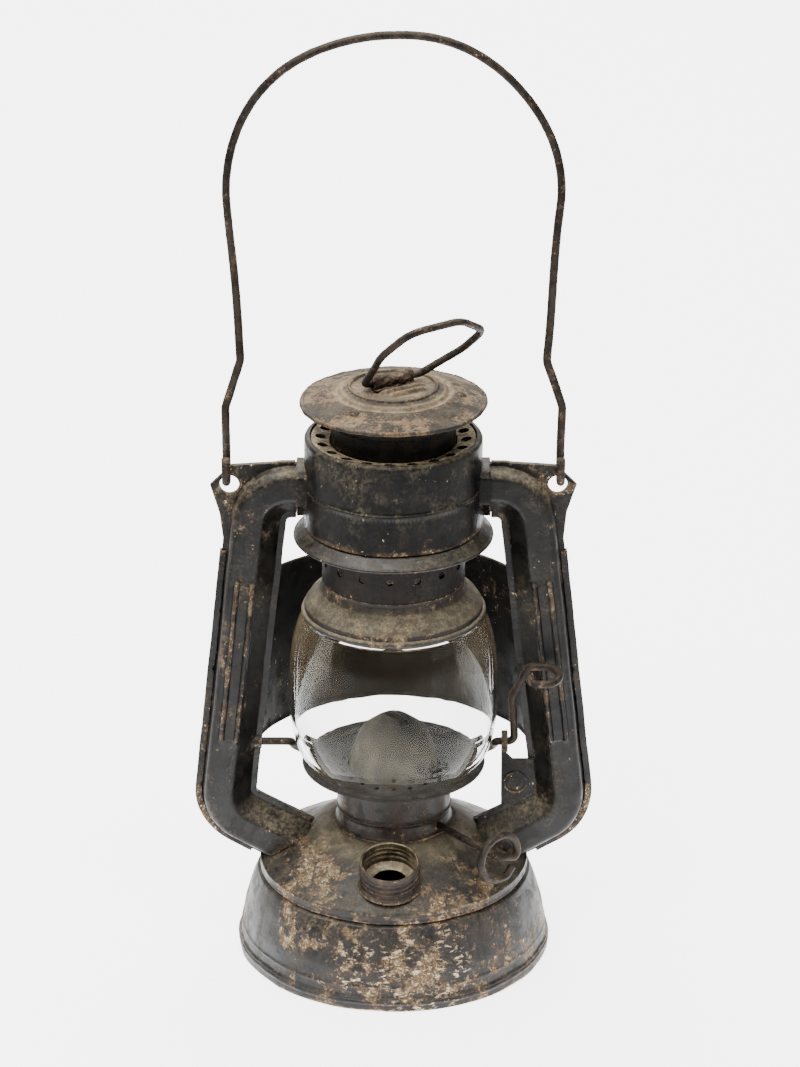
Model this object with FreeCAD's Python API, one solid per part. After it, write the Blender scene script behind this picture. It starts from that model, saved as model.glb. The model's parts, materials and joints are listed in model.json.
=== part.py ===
"""Small tubular wick lantern in pressed steel, as separate pieces.

Millimetres, +Z up.  The origin is the centre of the ring that the base stands on.
+X is the side with the lift lever, -Y is the side with the filler neck.
"""
import FreeCAD, Part
import math
import os

V = FreeCAD.Vector
ORIGIN = V(0, 0, 0)
X_AXIS = V(1, 0, 0)
Y_AXIS = V(0, 1, 0)
Z_AXIS = V(0, 0, 1)

# ---- driving dimensions -------------------------------------------------------------
SHEET = 0.9                  # pressed steel sheet
RUN_CLEARANCE = 0.1          # radial clearance of a wire that turns in its hole
BIG = 400.0                  # longer than the lantern, for cutting solids

BASE_R = 60.3                # rolled rim that the lantern stands on
SHOULDER_R = 51.2            # seam between skirt and tank top
SHOULDER_Z = 36.6
SEAT_Z = 52.0                # flat seat for the burner on the tank top
SEAT_R = 23.8

COLLAR_R = 21.7              # raised collar round the burner
COLLAR_TOP = 72.2
PLATE_R = 34.9               # globe plate
PLATE_HOLE_R = 18.0
PLATE_Z = 72.6               # underside of the plate's flat middle
RIM_Z = 76.2                 # middle of the plate's rolled rim

GLOBE_FOOT_Z = 75.7
GLOBE_TOP_Z = 138.3
GLASS = 1.8

BELL_R = 34.8
NECK_R = 26.8                # lower part of the sliding chimney
NECK_BOTTOM = 149.0
NECK_TOP = 184.5
CHIMNEY_R = 23.2             # upper part of the sliding chimney
CHIMNEY_TOP = 221.5

DRUM_R = 33.1
DRUM_BOTTOM = 175.0
DRUM_TOP = 210.4
DRUM_BEAD_Z = 190.7
LIP_R = 37.4

CAP_R = 34.7
CAP_RIM_Z = 223.6
CAP_TOP = 229.0

ARM_Z = 188.6                # middle of the upper arm of a side tube
LEG_TOP_X = 49.95            # the leg's middle line at ARM_Z
LEG_FOOT = (64.8, 57.2)      # where leg and lower arm cross
TUBE_FOOT = (36.0, 41.2)     # the lower arm's middle line, well inside the tank
ELBOW_R = 13.0
FLANGE_W = 11.3              # half the tube's width over its flanges
TUBE_DEPTH = 7.8             # from the middle plane to the front face

EAR_HOLE = (61.0, 190.5)
EAR_HOLE_D = 7.3
BAIL_WIRE = 3.1
BAIL_X = 62.0
BAIL_PIVOT_Z = 195.7
BAIL_HOOK_R = 4.2
BAIL_ARCH_R = 60.7
BAIL_ARCH_Z = 302.0

LIFT_WIRE = 3.0
LIFT_AXIS_Z = 84.1
CRANK_R = 38.8               # the crank goes round behind the globe at this radius
CRANK_ANGLE = -35.0          # slope of the crank at rest, in degrees

SHAFT_D = 3.0                # wick winder
SHAFT_Z = 55.0
SHAFT_ANGLE = -50.0
SHAFT_OFFSET = 4.76          # distance of the shaft from the lantern's middle line
KNOB_REACH = 56.1
KNOB_R = 9.0
STAR_R = 3.75

WICK_W = 12.0
WICK_T = 1.6
WICK_TUBE_TOP = 80.0

FILLER_BASE = (-1.5, -36.6, 43.6)
FILLER_TILT = 15.0
FILLER_R = 10.9
FILLER_BORE_R = 9.75
FILLER_LENGTH = 9.0

REFLECTOR_R = 55.0
REFLECTOR_Z = (77.0, 142.5)
REFLECTOR_END = 12.0         # angle from the X axis to the reflector's edge

RING_WIRE = 2.8              # pull ring on the cap
RING_PIVOT = (-0.5, 1.8, 231.5)
RING_AXIS_ANGLE = 29.8
RING_LEAN = 45.0
RIVET_ANGLES = (-125.0, -5.0, 115.0)
RIVET_RADIUS = 24.6


# ---- helpers ------------------------------------------------------------------------
def unit(vector):
    return vector / vector.Length


def rounded_edges(points, radii):
    """Straight runs through the points, joined by tangent arcs at the inner points."""
    edges = []
    start = points[0]
    for before, corner, after, radius in zip(points, points[1:], points[2:], radii):
        back = unit(before - corner)
        ahead = unit(after - corner)
        angle = back.getAngle(ahead)
        if radius < 0.05 or math.pi - angle < 0.002:
            stop, onward, arc = corner, corner, None
        else:
            reach = radius / math.tan(angle / 2)
            reach = min(reach, (corner - start).Length, 0.97 * (after - corner).Length)
            radius = reach * math.tan(angle / 2)
            stop = corner + back * reach
            onward = corner + ahead * reach
            depth = radius / math.sin(angle / 2) - radius
            middle = corner + unit(back + ahead) * depth
            arc = Part.Arc(stop, middle, onward).toShape()
        if (stop - start).Length > 1e-4:
            edges.append(Part.LineSegment(start, stop).toShape())
        if arc:
            edges.append(arc)
        start = onward
    if (points[-1] - start).Length > 1e-4:
        edges.append(Part.LineSegment(start, points[-1]).toShape())
    return edges


def offset_line(points, distance):
    """The corners of a line in two dimensions, moved to its left by a distance."""
    normals = []
    for (x0, y0), (x1, y1) in zip(points, points[1:]):
        length = math.hypot(x1 - x0, y1 - y0)
        normals.append((-(y1 - y0) / length, (x1 - x0) / length))
    moved = []
    for i, (x, y) in enumerate(points):
        nx, ny = normals[max(i - 1, 0)]
        mx, my = normals[min(i, len(normals) - 1)]
        scale = distance / (1 + nx * mx + ny * my)
        moved.append((x + (nx + mx) * scale, y + (ny + my) * scale))
    return moved


def sheet_face(points, radii, place, thickness=SHEET):
    """Section of a bent sheet about its middle line; place turns (a, b) into a vector."""
    sides = []
    for sign in (1, -1):
        corners = [place(a, b) for a, b in offset_line(points, sign * thickness / 2)]
        side_radii = []
        for (ax, ay), (bx, by), (cx, cy), radius in zip(points, points[1:], points[2:], radii):
            turn = (bx - ax) * (cy - by) - (by - ay) * (cx - bx)
            side_radii.append(radius - math.copysign(sign * thickness / 2, turn) if radius else 0)
        sides.append((corners, side_radii))
    left = rounded_edges(*sides[0])
    right = rounded_edges(*sides[1])
    caps = [Part.LineSegment(sides[0][0][k], sides[1][0][k]).toShape() for k in (0, -1)]
    return Part.Face(Part.Wire(Part.__sortEdges__(left + right + caps)))


def polar(r, z):
    return V(r, 0, z)


def spun_sheet(points, radii=(), thickness=SHEET):
    """A round pressing: its middle line as (radius, height) points, spun about Z."""
    radii = list(radii) + [0] * (len(points) - 2 - len(radii))
    return sheet_face(points, radii, polar, thickness).revolve(ORIGIN, Z_AXIS, 360)


def bead(radius, height, size):
    """A rolled round edge."""
    return Part.makeTorus(radius, size, V(0, 0, height))


def cylinder(radius, start, direction, length):
    return Part.makeCylinder(radius, length, start, direction)


def box(x0, x1, y0, y1, z0, z1):
    return Part.makeBox(x1 - x0, y1 - y0, z1 - z0, V(x0, y0, z0))


def fuse(shapes):
    shapes = list(shapes)
    return shapes[0].multiFuse(shapes[1:]).removeSplitter() if len(shapes) > 1 else shapes[0]


def wire_solid(points, radii, diameter):
    """Round wire bent at the inner points."""
    path = Part.Wire(rounded_edges(points, radii))
    circle = Part.makeCircle(diameter / 2, points[0], points[1] - points[0])
    return path.makePipeShell([Part.Wire(circle)], True, False)


def about_z(x, y, z, degrees):
    turn = math.radians(degrees)
    c, s = math.cos(turn), math.sin(turn)
    return V(x * c - y * s, x * s + y * c, z)


def ring_of_holes(count, radius, z, hole_r, start, axial):
    """Cutters for holes round the lantern, along Z or straight out."""
    cutters = []
    for k in range(count):
        degrees = start + 360.0 * k / count
        if axial:
            cutters.append(cylinder(hole_r, about_z(radius, 0, z - 4, degrees), Z_AXIS, 8))
        else:
            cutters.append(cylinder(hole_r, about_z(radius - 3, 0, z, degrees),
                                    about_z(1, 0, 0, degrees), 6))
    return cutters


def mirrored(shape, axis):
    return shape.mirror(ORIGIN, axis)


# ---- tank ---------------------------------------------------------------------------
def dome_line():
    """Middle line of the tank top, from the seam inwards to the burner hole."""
    half = SHEET / 2
    return [(SHOULDER_R - half, 32.6), (SHOULDER_R - half, SHOULDER_Z - 0.6),
            (SEAT_R, SEAT_Z - half), (14.2, SEAT_Z - half)]


def tank_skirt():
    line = [(56.6, 0.45), (59.4, 0.45), (59.4, 4.4), (58.6, 5.2), (58.3, 8.0), (58.5, 8.9),
            (58.1, 9.8), (57.25, 15.3), (54.0, 25.9), (51.9, 31.1), (49.75, 31.9), (49.75, 35.4)]
    skirt = spun_sheet(line, (0.5, 0.7, 0.6, 0.6, 0.6, 0.6, 20, 30, 1.0, 0.6))
    return fuse([skirt, bead(BASE_R - 1.25, 3.2, 1.25)])


def tank_bottom():
    outer = BASE_R - 2.0
    return spun_sheet([(0, 6.4), (53.0, 6.4), (56.4, 1.4), (outer, 1.4)], (1.0, 0.8))


def tank_top():
    top = spun_sheet(dome_line(), (1.6, 3.0))
    top = fuse([top, bead(SHOULDER_R - 0.35, 33.2, 0.6), bead(SHOULDER_R - 0.35, 36.0, 0.6)])
    neck, axis = filler_axis()
    return top.cut(cylinder(FILLER_R - 0.6, neck - axis * 8, axis, 20))


def filler_axis():
    tilt = math.radians(FILLER_TILT)
    return V(*FILLER_BASE), V(0, -math.sin(tilt), math.cos(tilt))


def filler_neck():
    """Neck with three threads outside and a plain bore; its cap is missing."""
    base, axis = filler_axis()
    crest, root = FILLER_R, FILLER_R - 0.7
    outline = [(FILLER_BORE_R, -0.4), (crest + 1.4, -0.4), (crest + 1.4, 0.4), (root, 1.2)]
    for k in range(3):
        foot = 2.2 + 1.9 * k
        outline += [(root, foot), (crest, foot + 0.6), (crest, foot + 1.0), (root, foot + 1.6)]
    outline += [(root, FILLER_LENGTH), (FILLER_BORE_R, FILLER_LENGTH), (FILLER_BORE_R, -0.4)]
    face = Part.Face(Part.makePolygon([polar(r, z) for r, z in outline]))
    neck = face.revolve(ORIGIN, Z_AXIS, 360)
    floor = spun_sheet([(FILLER_BORE_R + 0.4, 0.0), (FILLER_BORE_R - 3.2, -0.7)], (), 0.7)
    neck = fuse([neck, floor])
    neck.Placement = FreeCAD.Placement(base, FreeCAD.Rotation(Z_AXIS, axis))
    return neck


# ---- burner -------------------------------------------------------------------------
def shaft_frame():
    """The winder shaft's nearest point to the middle line, and its outward direction."""
    out = about_z(1, 0, 0, SHAFT_ANGLE)
    aside = about_z(0, 1, 0, SHAFT_ANGLE)
    return aside * SHAFT_OFFSET + V(0, 0, SHAFT_Z), out, aside


def shaft_hole():
    foot, out, _ = shaft_frame()
    return cylinder(SHAFT_D / 2 + RUN_CLEARANCE, foot + out * 2, out, 40)


def burner_collar():
    line = [(SEAT_R - 0.4, 52.45), (COLLAR_R + 0.2, 52.6), (COLLAR_R - 0.45, 55.5),
            (COLLAR_R - 0.45, COLLAR_TOP)]
    collar = spun_sheet(line, (0.8, 2.0))
    collar = fuse([collar, bead(COLLAR_R - 0.1, 58.6, 0.5)])
    return collar.cut(shaft_hole())


def burner_body():
    """Cup that stands on the tank and carries the wick tube."""
    line = [(17.6, 52.5), (14.4, 52.5), (14.4, 69.5), (4.0, 69.5)]
    body = spun_sheet(line, (0.8, 1.2))
    slot = aligned_box(WICK_W + 2.2, WICK_T + 2.6, 60, 75)
    air = ring_of_holes(14, 14.4, 63.5, 1.5, 8.0, False)
    return body.cut(slot).cut(shaft_hole()).cut(Part.makeCompound(air))


def air_plate():
    """Perforated ring that spreads the air round the cone."""
    ring = spun_sheet([(14.9, 68.0), (20.7, 68.0)])
    return ring.cut(Part.makeCompound(ring_of_holes(24, 17.8, 68.0, 1.2, 0.0, True)))


def burner_cone():
    line = [(17.2, 70.5), (16.6, 71.2), (16.2, 79.0), (12.6, 89.0), (5.0, 94.6), (0, 94.6)]
    cone = spun_sheet(line, (0.5, 12.0, 9.0, 6.0), 0.8)
    slot = aligned_box(WICK_W + 2.0, 4.0, 85, 100)
    air = ring_of_holes(16, 16.3, 75.0, 0.9, 0.0, False)
    return cone.cut(slot).cut(Part.makeCompound(air))


def aligned_box(along, across, z0, z1, shift=0.0):
    """Box on the middle line, its length along the winder shaft."""
    block = box(-along / 2, along / 2, -across / 2 + shift, across / 2 + shift, z0, z1)
    block.rotate(ORIGIN, Z_AXIS, SHAFT_ANGLE)
    return block


def wick_tube():
    wall = 0.6
    outer = aligned_box(WICK_W + 2.0, WICK_T + 2.4, 47.0, WICK_TUBE_TOP)
    inner = aligned_box(WICK_W + 2.0 - 2 * wall, WICK_T + 2.4 - 2 * wall, 46.0, 90.0)
    window = aligned_box(9.4, 3.0, SHAFT_Z - 4.4, SHAFT_Z + 4.4, 2.6)
    return outer.cut(inner).cut(window)


def wick():
    return aligned_box(WICK_W, WICK_T, 11.0, 82.0)


def wick_knob():
    """Shaft and the loop of wire at its end, bent from one piece."""
    foot, out, aside = shaft_frame()
    centre = foot + out * KNOB_REACH
    r = KNOB_R
    flat = [(r, -2.8), (r, r), (-r, r), (-r, -r), (3.6, -r), (6.6, -5.8)]
    points = [foot - out * 9.0, centre] + [centre + aside * a + Z_AXIS * b for a, b in flat]
    return wire_solid(points, (2.2, 2.0, r - 0.02, r - 0.02, r - 0.02, 2.6), SHAFT_D)


def star_wheels():
    foot, out, aside = shaft_frame()
    teeth = 8
    wheels = []
    for place in (-3.2, 3.2):
        points = []
        for k in range(2 * teeth):
            radius = STAR_R if k % 2 == 0 else STAR_R - 1.1
            angle = math.pi * k / teeth
            points.append(foot + out * (place - 0.7) + aside * (radius * math.cos(angle))
                          + Z_AXIS * (radius * math.sin(angle)))
        star = Part.Face(Part.makePolygon(points + points[:1])).extrude(out * 1.4)
        wheels.append(star.cut(cylinder(SHAFT_D / 2, foot - out * 20, out, 60)))
    return Part.makeCompound(wheels)


# ---- globe and its plate --------------------------------------------------------------
def glass_globe():
    outer = [(29.9, GLOBE_FOOT_Z), (33.0, 78.1), (37.9, 88.2), (39.5, 109.0), (38.2, 126.5),
             (34.5, GLOBE_TOP_Z)]
    inner = [(r - GLASS, z) for r, z in outer]
    inner[1] = (outer[1][0] - 2.1, outer[1][1] + 0.3)
    edges = []
    for line in (outer, inner):
        curve = Part.BSplineCurve()
        curve.interpolate([polar(r, z) for r, z in line])
        edges.append(curve.toShape())
    for k in (0, -1):
        edges.append(Part.LineSegment(polar(*outer[k]), polar(*inner[k])).toShape())
    return Part.Face(Part.Wire(Part.__sortEdges__(edges))).revolve(ORIGIN, Z_AXIS, 360)


def globe_plate():
    half = SHEET / 2
    line = [(PLATE_HOLE_R, PLATE_Z + half), (22.6, PLATE_Z + half), (32.6, 74.9), (33.6, RIM_Z)]
    plate = fuse([spun_sheet(line, (2.0, 0.8)), bead(PLATE_R - 1.1, RIM_Z + 0.1, 1.1)])
    plate = plate.cut(Part.makeCompound(ring_of_holes(20, 20.3, PLATE_Z, 0.9, 0.0, True)))
    lugs = []
    for degrees in (24.2, 155.8):
        lug = box(33.4, 40.4, -1.7, 1.7, 76.3, 77.3)
        lug.rotate(ORIGIN, Z_AXIS, degrees)
        lugs.append(lug)
    return fuse([plate] + lugs)


def lift_wire():
    """One bent wire: journal, crank behind the globe, journal, lever and thumb loop."""
    slope = math.radians(CRANK_ANGLE)

    def crank(x, s):
        return V(x, s * math.cos(slope), LIFT_AXIS_Z + s * math.sin(slope))

    r = CRANK_R
    straight = 2.8
    back = straight + r
    arch = [crank(-r, 0), crank(-r, back), crank(r, back), crank(r, 0)]
    lever_x = 46.2
    tilt = math.radians(11.0)
    loop = V(56.5, -17.0, 119.8)
    rear = V(0, math.cos(tilt), math.sin(tilt))
    size = 5.6
    corners = [(-5.9, size), (size, size), (size, -size), (-size, -size), (-size, -1.4)]
    thumb = [loop + X_AXIS * a + rear * b for a, b in corners]
    points = [crank(-55.6, 0)] + arch + [V(lever_x, 0, LIFT_AXIS_Z), V(45.0, -3.0, 104.5)] + thumb
    radii = (2.5, r - 0.02, r - 0.02, 2.5, 2.6, 6.0, 2.6, size - 0.1, size - 0.1, 3.6)
    return wire_solid(points, radii, LIFT_WIRE)


# ---- sliding chimney ------------------------------------------------------------------
def globe_bell():
    line = [(31.2, 136.2), (31.2, 140.0), (33.3, 140.0), (33.1, 142.6), (31.2, 145.4),
            (27.3, 148.6), (26.35, 151.5), (26.35, 153.0)]
    bell = spun_sheet(line, (0.6, 0.5, 0.8, 2.0, 1.6, 1.0), 0.8)
    return fuse([bell, bead(BELL_R - 1.2, 139.9, 1.2)])


def chimney_neck():
    line = [(NECK_R - 0.45, 153.3), (NECK_R - 0.45, NECK_TOP - 0.4),
            (CHIMNEY_R + 0.45, NECK_TOP - 0.4)]
    neck = spun_sheet(line, (1.6,))
    holes = ring_of_holes(16, NECK_R, 162.0, 1.45, -93.0, False)
    return neck.cut(Part.makeCompound(holes))


def chimney_tube():
    line = [(CHIMNEY_R - 0.45, 178.0), (CHIMNEY_R - 0.45, CHIMNEY_TOP)]
    return fuse([spun_sheet(line), bead(CHIMNEY_R - 0.5, 216.0, 0.9)])


def spring_seat():
    """Collar on the neck: the spring stands on it, and it stops on the drum's floor."""
    return spun_sheet([(NECK_R + 0.4, 180.2), (NECK_R + 0.4, 177.0), (31.0, 177.0)], (0.8,), 0.8)


def chimney_spring():
    radius, wire, turns = 29.6, 1.0, 5
    low, high = 177.4 + wire / 2, 207.4 - wire / 2
    helix = Part.makeHelix((high - low) / turns, high - low, radius)
    helix.translate(V(0, 0, low))
    circle = Part.makeCircle(wire / 2, V(radius, 0, low), Y_AXIS)
    return Part.Wire(helix.Edges).makePipeShell([Part.Wire(circle)], True, True)


def chimney_cap():
    line = [(CAP_R - 0.9, CAP_RIM_Z), (22.4, 227.2), (21.0, 226.6), (19.4, 228.0),
            (17.4, CAP_TOP - 0.45), (0, CAP_TOP - 0.45)]
    cap = spun_sheet(line, (1.0, 0.8, 1.2, 1.4))
    marks = []
    for aside in (-6.4, -9.3):
        bar = box(-9.5, 10.5, aside - 0.9, aside + 0.9, CAP_TOP - 0.6, CAP_TOP + 0.45)
        bar.rotate(ORIGIN, Z_AXIS, RING_AXIS_ANGLE)
        marks.append(bar)
    rings = [bead(16.2, CAP_TOP - 0.2, 0.6), bead(CAP_R - 0.85, CAP_RIM_Z - 0.1, 0.85)]
    return fuse([cap] + rings + marks)


def cap_legs():
    """Three strips that hold the cap above the chimney's open top."""
    legs = []
    for degrees in RIVET_ANGLES:
        line = [(CHIMNEY_R - 1.7, 211.5), (CHIMNEY_R - 1.7, 224.4), (27.6, 224.4)]
        strip = sheet_face(line, (1.2,), polar, 0.9)
        solid = strip.extrude(V(0, 6, 0))
        solid.translate(V(0, -3, 0))
        solid.rotate(ORIGIN, Z_AXIS, degrees)
        legs.append(solid.cut(chimney_tube()))
    return Part.makeCompound(legs)


def cap_rivets():
    rivets = []
    for degrees in RIVET_ANGLES:
        shank = cylinder(1.2, V(RIVET_RADIUS, 0, 223.2), Z_AXIS, 3.8)
        head = Part.makeSphere(2.6, V(RIVET_RADIUS, 0, 225.3), Z_AXIS, 0, 90, 360)
        tail = cylinder(2.0, V(RIVET_RADIUS, 0, 222.9), Z_AXIS, 0.85)
        rivet = fuse([shank, head.cut(box(0, 60, -30, 30, 200, 226.0)), tail])
        rivet.rotate(ORIGIN, Z_AXIS, degrees)
        rivets.append(rivet)
    return Part.makeCompound(rivets)


def ring_frame():
    """The pull ring's pivot, the direction of its bar and the way it leans."""
    bar = about_z(1, 0, 0, RING_AXIS_ANGLE)
    lean = math.radians(RING_LEAN)
    rise = about_z(0, -1, 0, RING_AXIS_ANGLE) * math.cos(lean) + Z_AXIS * math.sin(lean)
    return V(*RING_PIVOT), bar, rise


def ring_strap():
    """Strap soldered over the pull ring's straight bar."""
    pivot, bar, _ = ring_frame()
    half = 8.6
    inner = RING_WIRE / 2 + RUN_CLEARANCE
    tube = cylinder(inner + 0.9, pivot - bar * half, bar, 2 * half)
    drop = pivot.z - CAP_TOP
    sole = box(-half, half, -4.6, 4.6, -drop, -drop + 0.8)
    cheek = box(-half, half, -inner - 0.9, inner + 0.9, -drop, 0.0)
    base = fuse([sole, cheek])
    base.rotate(ORIGIN, Z_AXIS, RING_AXIS_ANGLE)
    base.translate(pivot)
    return fuse([tube, base]).cut(cylinder(inner, pivot - bar * 30, bar, 60))


def lift_ring():
    pivot, bar, rise = ring_frame()
    flat = [(0, 0), (-11.9, 0), (-13.8, 23.0), (-7.5, 39.5), (11.5, 43.0), (26.5, 30.5),
            (23.5, 16.5), (11.9, 0.0), (0.6, 0)]
    points = [pivot + bar * a + rise * b for a, b in flat]
    return wire_solid(points, (2.4, 16.0, 10.0, 9.0, 8.0, 14.0, 2.6), RING_WIRE)


# ---- drum -----------------------------------------------------------------------------
def air_drum():
    mid = DRUM_R - SHEET / 2
    line = [(mid, DRUM_BOTTOM + 0.2), (mid, DRUM_TOP - 0.45), (31.0, DRUM_TOP - 0.45)]
    drum = fuse([spun_sheet(line, (2.2,)), bead(DRUM_R - 0.35, DRUM_BEAD_Z, 0.75)])
    mouths = [arm_core(1), arm_core(-1)]
    return drum.cut(Part.makeCompound(mouths))


def arm_core(side):
    """The space inside a side tube where it enters the drum."""
    face = Part.Face(Part.makePolygon([arm_point(a, b) for a, b in
                                       ((6.4, 0), (6.2, -6.2), (-1.6, -6.8), (-7.6, 0),
                                        (-1.6, 6.8), (6.2, 6.2), (6.4, 0))]))
    core = face.extrude(V(12, 0, 0))
    core.translate(V(28, 0, 0))
    return core if side > 0 else mirrored(core, X_AXIS)


def arm_point(w, y):
    return V(0, y, ARM_Z + w)


def drum_flange():
    """Floor of the drum with a turned-down lip outside it."""
    line = [(NECK_R + 0.5, 175.2), (NECK_R + 0.5, 174.1), (32.9, 174.1), (LIP_R - 0.8, 170.9)]
    flange = spun_sheet(line, (0.5, 1.6))
    return fuse([flange, bead(LIP_R - 0.75, 170.7, 0.75)])


def perforated_ring():
    line = [(30.6, 209.55 - 0.35), (CHIMNEY_R + 0.95, 208.0), (CHIMNEY_R + 0.95, 206.4)]
    ring = spun_sheet(line, (0.6,))
    holes = ring_of_holes(20, 27.0, 208.6, 2.0, -93.0, True)
    return ring.cut(Part.makeCompound(holes))


# ---- side tubes -----------------------------------------------------------------------
def tube_section(origin, outward, face_side):
    """Section of one half of a side tube: a flange, the raised channel, a flange."""
    def place(w, y):
        return origin + outward * w + Y_AXIS * (y * face_side)

    gap = 0.05 + SHEET / 2
    line = [(FLANGE_W, -gap), (8.9, -gap), (7.9, -TUBE_DEPTH + 0.7), (-1.9, -TUBE_DEPTH + 0.4),
            (-8.8, -gap), (-FLANGE_W, -gap)]
    return sheet_face(line, (0.9, 2.4, 2.6, 1.2), place)


def tube_path():
    return [V(30.0, 0, ARM_Z), V(LEG_TOP_X, 0, ARM_Z), V(LEG_FOOT[0], 0, LEG_FOOT[1]),
            V(TUBE_FOOT[0], 0, TUBE_FOOT[1])]


def left_of(direction):
    """Across the tube in its own plane, away from the globe."""
    return V(-direction.z, 0, direction.x)


def swept_half(face_side):
    points = tube_path()
    pieces = []
    start = points[0]
    for i, corner in enumerate(points[1:-1], 1):
        heading = unit(corner - points[i - 1])
        onward = unit(points[i + 1] - corner)
        turn = heading.getAngle(onward)
        reach = ELBOW_R * math.tan(turn / 2)
        stop = corner - heading * reach
        run = tube_section(start, left_of(heading), face_side)
        pieces.append(run.extrude(stop - start))
        centre = stop - left_of(heading) * ELBOW_R
        bend = tube_section(stop, left_of(heading), face_side)
        pieces.append(bend.revolve(centre, Y_AXIS, math.degrees(turn)))
        start = corner + onward * reach
    heading = unit(points[-1] - start)
    pieces.append(tube_section(start, left_of(heading), face_side).extrude(points[-1] - start))
    return pieces


def ear_plate(face_side):
    """Flat ear outside the upper elbow, with the hole for the carrying wire."""
    outline = [(39.0, 199.7), (60.2, 198.0), (68.1, 190.4), (66.9, 186.6), (64.6, 179.0),
               (63.4, 168.0), (58.0, 168.0), (56.0, 190.0), (39.0, 197.0)]
    wire = Part.makePolygon([V(x, 0, z) for x, z in outline + outline[:1]])
    plate = Part.Face(wire).extrude(V(0, SHEET, 0))
    plate.translate(V(0, -0.05 - SHEET if face_side > 0 else 0.05, 0))
    elbow = V(LEG_TOP_X - ELBOW_R * math.tan(math.radians(41.9)), -20, ARM_Z - ELBOW_R)
    plate = plate.cut(cylinder(ELBOW_R + 8.9 - 0.4, elbow, Y_AXIS, 40))
    hole = cylinder(EAR_HOLE_D / 2, V(EAR_HOLE[0], -20, EAR_HOLE[1]), Y_AXIS, 40)
    return plate, hole


def leg_ribs(face_side):
    """Two pressed ribs along the leg's front."""
    points = tube_path()
    down = unit(points[2] - points[1])
    across = left_of(down)
    ribs = []
    for w in (4.3, -1.5):
        begin = points[1] + down * ((ARM_Z - 152.0) / -down.z) + across * w
        end = points[1] + down * ((ARM_Z - 88.6) / -down.z) + across * w
        lift = V(0, -(TUBE_DEPTH - 0.45) * face_side, 0)
        length = (end - begin).Length
        ribs.append(cylinder(1.25, begin + lift, down, length))
        ribs.append(Part.makeSphere(1.25, begin + lift))
        ribs.append(Part.makeSphere(1.25, end + lift))
    return ribs


def hem(face_side):
    """Edge of the rear sheet folded round the front sheet, along leg and lower elbow."""
    points = tube_path()
    heading = unit(points[2] - points[1])
    onward = unit(points[3] - points[2])
    turn = heading.getAngle(onward)
    reach = ELBOW_R * math.tan(turn / 2)
    stop = points[2] - heading * reach
    start = points[1] + heading * 26.0

    def fold(origin, outward):
        corners = ((FLANGE_W - 0.2, 1.2), (FLANGE_W + 0.75, 1.2), (FLANGE_W + 0.75, -1.75),
                   (FLANGE_W - 1.7, -1.75), (FLANGE_W - 1.7, -1.05), (FLANGE_W + 0.05, -1.05),
                   (FLANGE_W + 0.05, 0.05), (FLANGE_W - 0.2, 0.05))
        loop = [origin + outward * w + V(0, y, 0) for w, y in corners + corners[:1]]
        return Part.Face(Part.makePolygon(loop))

    centre = stop - left_of(heading) * ELBOW_R
    last = points[2] + onward * reach
    return [fold(start, left_of(heading)).extrude(stop - start),
            fold(stop, left_of(heading)).revolve(centre, Y_AXIS, math.degrees(turn)),
            fold(last, left_of(onward)).extrude(onward * 9.0)]


def tank_envelope():
    """Everything that the tank fills, for trimming the side tubes' feet."""
    line = [(0, -5), (70, -5), (70, 30), (SHOULDER_R, 31), (SHOULDER_R, SHOULDER_Z),
            (SEAT_R + 0.2, SEAT_Z + 0.05), (0, SEAT_Z + 0.05), (0, -5)]
    return Part.Face(Part.makePolygon([polar(r, z) for r, z in line])).revolve(
        ORIGIN, Z_AXIS, 360)


def tube_half(front, side):
    """One pressed half of a side tube; front is the half on the -Y side."""
    face_side = 1 if front else -1
    ear, hole = ear_plate(face_side)
    pieces = swept_half(face_side) + [ear] + leg_ribs(face_side)
    if not front:
        pieces += hem(face_side)
    half = fuse(pieces)
    top_trim = box(20, 58, -30, 30, 199.7, 230)
    drum = Part.makeCylinder(DRUM_R + 0.05, 80, V(0, 0, 150))
    near_drum = box(20, DRUM_R + 3.2, -0.1 - SHEET, 0.1 + SHEET, 150, 220)
    half = half.cut(Part.makeCompound([top_trim, hole])).cut(drum).cut(near_drum)
    half = half.cut(tank_envelope())
    if side < 0:
        half = mirrored(half, X_AXIS)
        socket = cylinder(2.6, V(-54.8, 0, LIFT_AXIS_Z), X_AXIS, 4.4)
        keep = box(-80, 0, -20, -0.05, 60, 100) if front else box(-80, 0, 0.05, 20, 60, 100)
        half = fuse([half, socket.common(keep)])
        bore = cylinder(LIFT_WIRE / 2 + RUN_CLEARANCE, V(-57, 0, LIFT_AXIS_Z), X_AXIS, 12)
        half = half.cut(bore)
    return half


def tube_collar(side):
    """Sleeve soldered round the side tube where it enters the drum."""
    skin = ((10.3, 0), (9.6, -7.2), (7.6, -9.1), (-2.6, -9.4), (-10.4, -1.4), (-10.4, 1.4),
            (-2.6, 9.4), (7.6, 9.1), (9.6, 7.2), (10.3, 0))
    bore = ((9.4, 0), (8.8, -7.0), (7.3, -8.2), (-2.4, -8.5), (-9.7, -1.0), (-9.7, 1.0),
            (-2.4, 8.5), (7.3, 8.2), (8.8, 7.0), (9.4, 0))
    solids = []
    for outline, x0, length in ((skin, 29.0, 7.0), (bore, 28.0, 10.0)):
        face = Part.Face(Part.makePolygon([arm_point(a, b) for a, b in outline]))
        solid = face.extrude(V(length, 0, 0))
        solid.translate(V(x0, 0, 0))
        solids.append(solid)
    collar = solids[0].cut(solids[1])
    collar = collar.cut(Part.makeCylinder(DRUM_R + 0.03, 80, V(0, 0, 150)))
    return collar if side > 0 else mirrored(collar, X_AXIS)


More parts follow.
